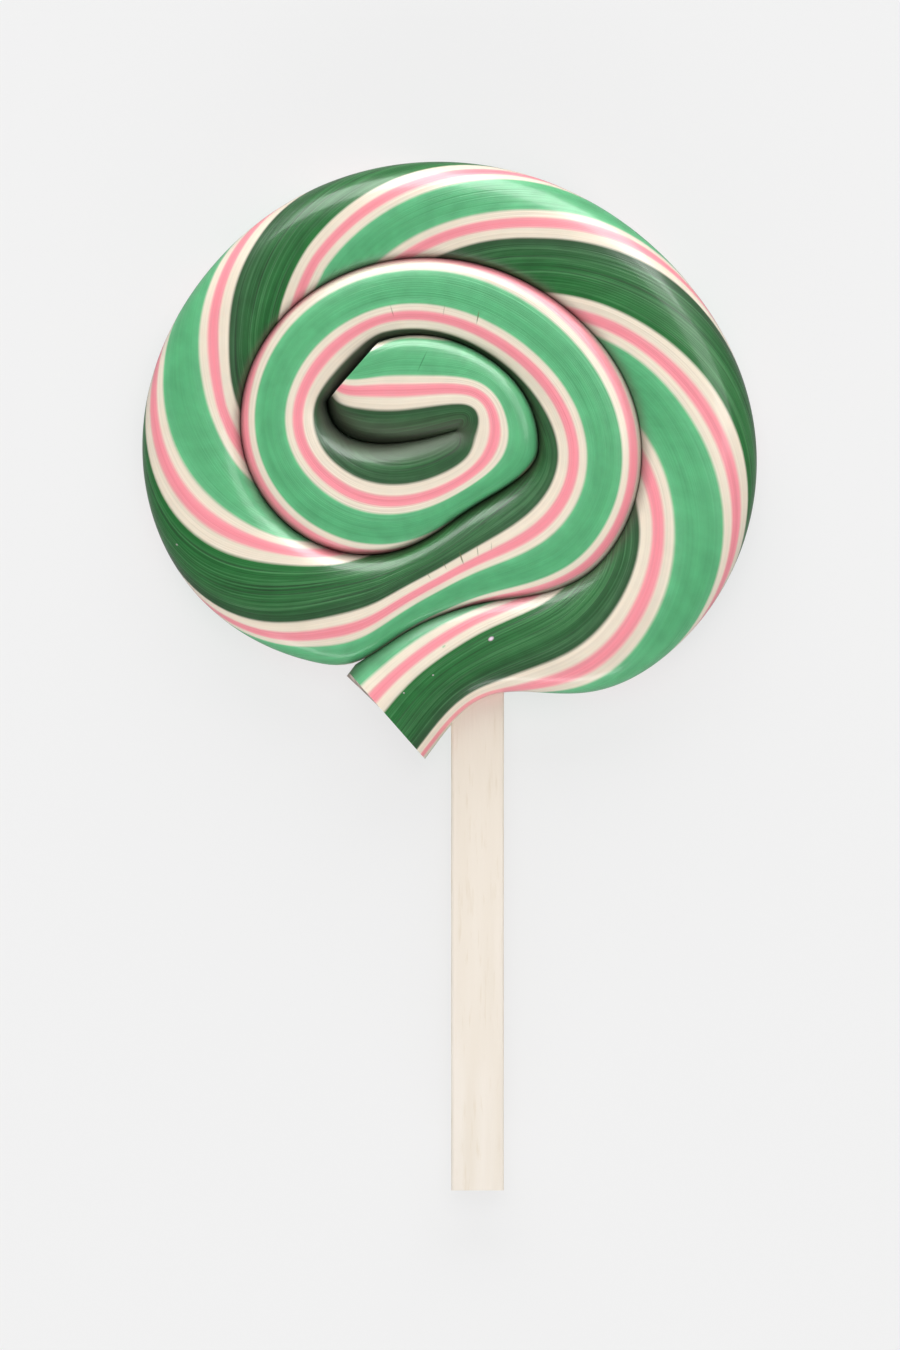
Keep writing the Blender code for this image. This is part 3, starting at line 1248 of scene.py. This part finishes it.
    def crown_tree(self) -> bpy.types.NodeTree:
        """Geometry Nodes that raise the flat ribbon to the rope's rounded section."""
        tree = bpy.data.node_groups.new("rope_crown", "GeometryNodeTree")
        graph = Graph(tree)
        face = tree.interface
        face.new_socket("Geometry", in_out="INPUT", socket_type="NodeSocketGeometry")
        for name in self.crown_sizes():
            face.new_socket(name, in_out="INPUT", socket_type="NodeSocketFloat")
        face.new_socket("Skin", in_out="INPUT", socket_type="NodeSocketMaterial")
        face.new_socket("Cut", in_out="INPUT", socket_type="NodeSocketMaterial")
        face.new_socket("Geometry", in_out="OUTPUT", socket_type="NodeSocketGeometry")
        given = graph.add("NodeGroupInput").outputs
        read = {
            key: graph.add("GeometryNodeInputNamedAttribute", {"Name": key}, data_type="FLOAT").outputs[0]
            for key in self.guides
        }
        is_outer = graph.math("GREATER_THAN", read["across"], 0.0)
        freed = graph.blend(given["Seam Roundness"], given["Rim Roundness"], read["rim_share"])
        outer = graph.blend(freed, given["Core Roundness"], read["softness"])
        roundness = graph.blend(given["Inner Roundness"], outer, is_outer)
        power = graph.math("POWER", graph.math("ABSOLUTE", read["across"]), roundness)
        room = graph.math("MAXIMUM", graph.math("SUBTRACT", 1.0, power), 0.0)
        rounded = graph.math("POWER", room, graph.math("DIVIDE", 1.0, roundness))
        hollow = graph.math("POWER", graph.math("ABSOLUTE", read["across"]), given["Crease Roundness"])
        folded = graph.math("MULTIPLY", read["softness"], graph.math("SUBTRACT", 1.0, is_outer))
        soft = graph.math("MULTIPLY", folded, given["Crease Openness"])
        crown = graph.blend(rounded, graph.math("SUBTRACT", 1.0, hollow), soft)
        full = graph.blend(read["edge_level"], given["Crest"], crown)

        place = graph.add("GeometryNodeInputPosition").outputs[0]
        lumps = graph.add(
            "ShaderNodeTexNoise",
            {"Vector": place, "W": given["Seed"], "Scale": given["Lump Scale"], "Detail": 1.0},
            noise_dimensions="4D",
        )
        sink = graph.math("MULTIPLY", graph.math("MULTIPLY", lumps.outputs[0], given["Unevenness"]), crown)
        height = graph.math("SUBTRACT", full, sink)
        pressed = graph.math("MINIMUM", full, given["Back Flat"])
        shown = graph.math("GREATER_THAN", read["side"], 0.0)
        reach = graph.blend(pressed, height, shown)
        lift = graph.math("MULTIPLY", reach, read["side"])
        offset = graph.add("ShaderNodeCombineXYZ", {2: lift}).outputs[0]
        moved = graph.add("GeometryNodeSetPosition", {"Geometry": given["Geometry"], "Offset": offset})
        real = graph.add("GeometryNodeRealizeInstances", {0: moved.outputs[0]})
        dressed = {"Geometry": real.outputs[0], "Material": given["Skin"]}
        skin = graph.add("GeometryNodeSetMaterial", dressed)
        is_cut = graph.add("GeometryNodeInputNamedAttribute", {"Name": "cut_face"}, data_type="BOOLEAN")
        cut = graph.add(
            "GeometryNodeSetMaterial",
            {"Geometry": skin.outputs[0], "Selection": is_cut.outputs[0], "Material": given["Cut"]},
        )
        graph.add("NodeGroupOutput", {0: cut.outputs[0]})
        return tree

    def dress(self, piece: bpy.types.Object, skin: Material, cut: Material) -> None:
        """Raises the crown, gives the rope its finishes and sets it in the frame.

        Args:
            piece: The flat ribbon.
            skin: The striped finish.
            cut: The finish of the cut faces.
        """
        tree = self.crown_tree()
        crown = piece.modifiers.new("crown", "NODES")
        crown.node_group = tree
        given = {**self.crown_sizes(), "Skin": skin, "Cut": cut}
        for item in tree.interface.items_tree:
            if item.in_out == "INPUT" and item.name in given:
                crown[item.identifier] = given[item.name]
        bake_nodes(piece)
        mesh = piece.data
        for key in (*self.guides, "cut_face"):
            mesh.attributes.remove(mesh.attributes[key])
        mesh.shade_smooth()
        mesh.set_sharp_from_angle(angle=self.sharp_angle)
        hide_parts("candy")
        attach(piece, BODY)


# The stick


@dataclass
class Stick:
    """The flat wooden stick, with eased edges and slight waves left by the saw."""

    ease: float = 0.4 * MM
    corner_steps: int = 4
    side_steps: int = 6
    rows: int = 120
    wave: float = 0.03 * MM
    # Radians for a metre: across and along in the one wave, along and up in the other
    first_wave: Pair = (1900.0, 210.0)
    second_wave: Pair = (130.0, 900.0)
    sharp_angle: float = math.radians(50.0)

    def outline(self, half_width: float, half_height: float) -> list[Pair]:
        """The stick's cross-section: a rectangle with rounded corners.

        Args:
            half_width: Half of its width.
            half_height: Half of its thickness.

        Returns:
            Its points, anticlockwise.
        """
        points = []
        for corner in range(4):
            across = 1.0 if corner in (0, 3) else -1.0
            up = 1.0 if corner in (0, 1) else -1.0
            centre = np.array((across * (half_width - self.ease), up * (half_height - self.ease)))
            for step in range(self.corner_steps + 1):
                angle = math.radians(90.0 * (corner + step / self.corner_steps))
                points.append(centre + self.ease * np.array((math.cos(angle), math.sin(angle))))
        outline = []
        for here, after in zip(points, points[1:] + points[:1]):
            pieces = self.side_steps if np.linalg.norm(after - here) > self.ease else 1
            outline.extend(tuple(here + (after - here) * j / pieces) for j in range(pieces))
        return outline

    def build(self, name: str) -> bpy.types.Object:
        """Lofts the stick inside its frame node's box.

        Args:
            name: The object's name.

        Returns:
            The stick.
        """
        low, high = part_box("stick")
        middle = (low + high) / 2.0
        half = (high - low) / 2.0
        outline = self.outline(half.x, half.z)
        mesh = bmesh.new()
        rings = []
        (fast, slow), (lengthwise, upwards) = self.first_wave, self.second_wave
        for row in range(self.rows + 1):
            y = low.y + (high.y - low.y) * row / self.rows
            ring = []
            for x, z in outline:
                wave = 0.5 + 0.5 * math.sin(fast * x + slow * y) * math.cos(lengthwise * y + upwards * z)
                inward = 1.0 - self.wave * wave / max(abs(x), abs(z))
                ring.append(mesh.verts.new((middle.x + x * inward, y, middle.z + z * inward)))
            rings.append(ring)
        for near, far in zip(rings, rings[1:]):
            for i, point in enumerate(near):
                j = (i + 1) % len(near)
                mesh.faces.new((point, far[i], far[j], near[j]))
        mesh.faces.new(rings[0])
        mesh.faces.new(rings[-1][::-1])
        bmesh.ops.recalc_face_normals(mesh, faces=mesh.faces)
        data = bpy.data.meshes.new(name)
        mesh.to_mesh(data)
        mesh.free()
        data.shade_smooth()
        data.set_sharp_from_angle(angle=self.sharp_angle)
        return new_object(name, data)

    def dress(self, piece: bpy.types.Object, wood: Material) -> None:
        """Gives the stick its wood and sets it in the frame.

        Args:
            piece: The stick.
            wood: Its finish.
        """
        piece.data.materials.append(wood)
        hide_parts("stick")
        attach(piece, BODY)


# Studio


@dataclass(frozen=True)
class SoftLight:
    """A soft rectangular light that faces the swirl."""

    name: str
    # Clockwise from +Y and up from the floor, in degrees, and how far away
    place: tuple[float, float, float]
    size: Pair
    watts: float
    # Whether it is only mirrored by gloss, or else only shades
    gleam: bool = False
    aim: tuple[float, float, float] = (0.0, 0.03, 0.0)

    def hang(self) -> None:
        """Puts the light in the scene."""
        light = bpy.data.lights.new(self.name, "AREA")
        light.shape = "RECTANGLE"
        light.size, light.size_y = self.size
        light.energy = self.watts
        lamp = new_object(self.name, light)
        azimuth, elevation = (math.radians(angle) for angle in self.place[:2])
        level = math.cos(elevation)
        direction = (level * math.sin(azimuth), level * math.cos(azimuth), math.sin(elevation))
        lamp.location = self.place[2] * Vector(direction)
        towards = Vector(self.aim) - lamp.location
        lamp.rotation_euler = towards.to_track_quat("-Z", "Y").to_euler()
        lamp.visible_camera = False
        lamp.visible_glossy = self.gleam
        lamp.visible_diffuse = not self.gleam


@dataclass
class Studio:
    """Floor, lights and the camera over the lollipop."""

    floor_size: float = 12.0
    frame_height: float = 162.0 * MM
    lens: float = 400.0
    sensor: float = 36.0
    aim: Pair = (0.05 * MM, 0.11 * MM)
    rope_middle: float = 5.0 * MM
    sky: float = 0.3
    lights: tuple[SoftLight, ...] = (
        SoftLight("key", (0.0, 25.0, 3.0), (3.6, 2.3), 84.0),
        SoftLight("top", (0.0, 78.7, 3.06), (1.8, 1.8), 33.5),
        SoftLight("low", (0.0, 8.7, 2.63), (3.6, 0.8), 24.0),
        SoftLight("fill", (180.0, 17.1, 2.72), (3.6, 0.9), 50.0),
        SoftLight("top_gleam", (8.0, 27.0, 3.0), (4.2, 2.4), 190.0, gleam=True),
        SoftLight("side_gleam", (62.0, 50.0, 3.0), (1.5, 1.5), 20.0, gleam=True),
        SoftLight("foot_gleam", (180.0, 14.0, 3.0), (3.0, 0.7), 24.0, gleam=True),
    )

    def build_floor(self, finish: Material) -> None:
        """Lays the floor.

        Args:
            finish: The floor's finish.
        """
        mesh = bmesh.new()
        bmesh.ops.create_grid(mesh, x_segments=1, y_segments=1, size=self.floor_size / 2.0)
        data = bpy.data.meshes.new("floor")
        mesh.to_mesh(data)
        mesh.free()
        data.materials.append(finish)
        floor = new_object("floor", data)
        floor.visible_glossy = False

    def build_lights(self) -> None:
        """Lights the lollipop from its top end, with an even pale fill."""
        for light in self.lights:
            light.hang()
        world = bpy.data.worlds.new("studio")
        world.use_nodes = True
        shade = world.node_tree.nodes["Background"]
        shade.inputs["Color"].default_value = WHITE
        shade.inputs["Strength"].default_value = self.sky
        bpy.context.scene.world = world

    def build_camera(self) -> None:
        """Sets the camera straight above the middle of the picture."""
        data = bpy.data.cameras.new("camera")
        data.lens = self.lens
        data.sensor_width = self.sensor
        camera = new_object("camera", data)
        distance = self.lens / self.sensor * self.frame_height
        camera.location = (*self.aim, self.rope_middle + distance)
        data.clip_start = distance * 0.1
        data.clip_end = distance * 20.0
        bpy.context.scene.camera = camera
        bpy.context.scene.view_settings.view_transform = "Standard"


def swirl_centre(plan: SwirlPlan, rope: Rope) -> Vector:
    """Finds the swirl's centre from the frame's candy.

    Args:
        plan: The swirl's plan.
        rope: The rope's sizes.

    Returns:
        The centre, at the height of the rope's middle.
    """
    low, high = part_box("candy")
    outline = plan.seam(plan.facing(plan.turns(rope.fineness)))
    middle = 0.5 * (outline.min(axis=0) + outline.max(axis=0))
    return Vector(((low.x + high.x) / 2.0 - middle[0], (low.y + high.y) / 2.0 - middle[1], rope.back_flat))


def main() -> None:
    """Builds every piece, the floor, the lights and the camera."""
    logging.basicConfig(level=logging.INFO, format="%(message)s")
    plan = SwirlPlan()
    rope = Rope(plan, StripePlan())
    candy = rope.build("candy_rope", swirl_centre(plan, rope))
    rope.dress(candy, StripedSugar().make(), CutSugar().make())
    log.info("candy rope: %d faces", len(candy.data.polygons))

    stick = Stick()
    wood = stick.build("wooden_stick")
    stick.dress(wood, BareWood().make())
    log.info("stick: %d faces", len(wood.data.polygons))

    studio = Studio()
    studio.build_floor(PaleFloor().make())
    studio.build_lights()
    studio.build_camera()
    log.info("studio ready")


if __name__ == "__main__":
    main()
